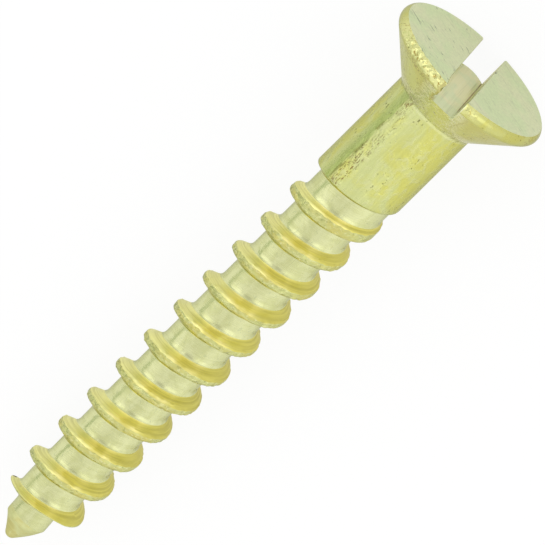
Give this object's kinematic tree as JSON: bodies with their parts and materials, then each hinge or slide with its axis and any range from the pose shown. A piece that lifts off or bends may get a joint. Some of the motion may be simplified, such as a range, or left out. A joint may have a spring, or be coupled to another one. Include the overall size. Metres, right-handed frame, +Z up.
{
  "type": "countersunk wood screw",
  "caption": "Slotted countersunk wood screw in solid brass, part threaded, with a pointed nose, for fixing a piece to wood with the head flush.",
  "frame": {"origin": "under the middle of the bounding box, on the surface that the screw lies on", "axes": "+X towards the head, +Z up. The screw's axis rises towards the head by 4.4 degrees in the XZ plane, because its head rests on its rim. The driver slot is in the XZ plane."},
  "size_m": [0.03, 0.008, 0.0078],
  "materials": {
    "brass": "bright, as cut and drawn, unlacquered"
  },
  "bodies": {
    "root": {"wood_screw": "brass"}
  },
  "joints": []
}
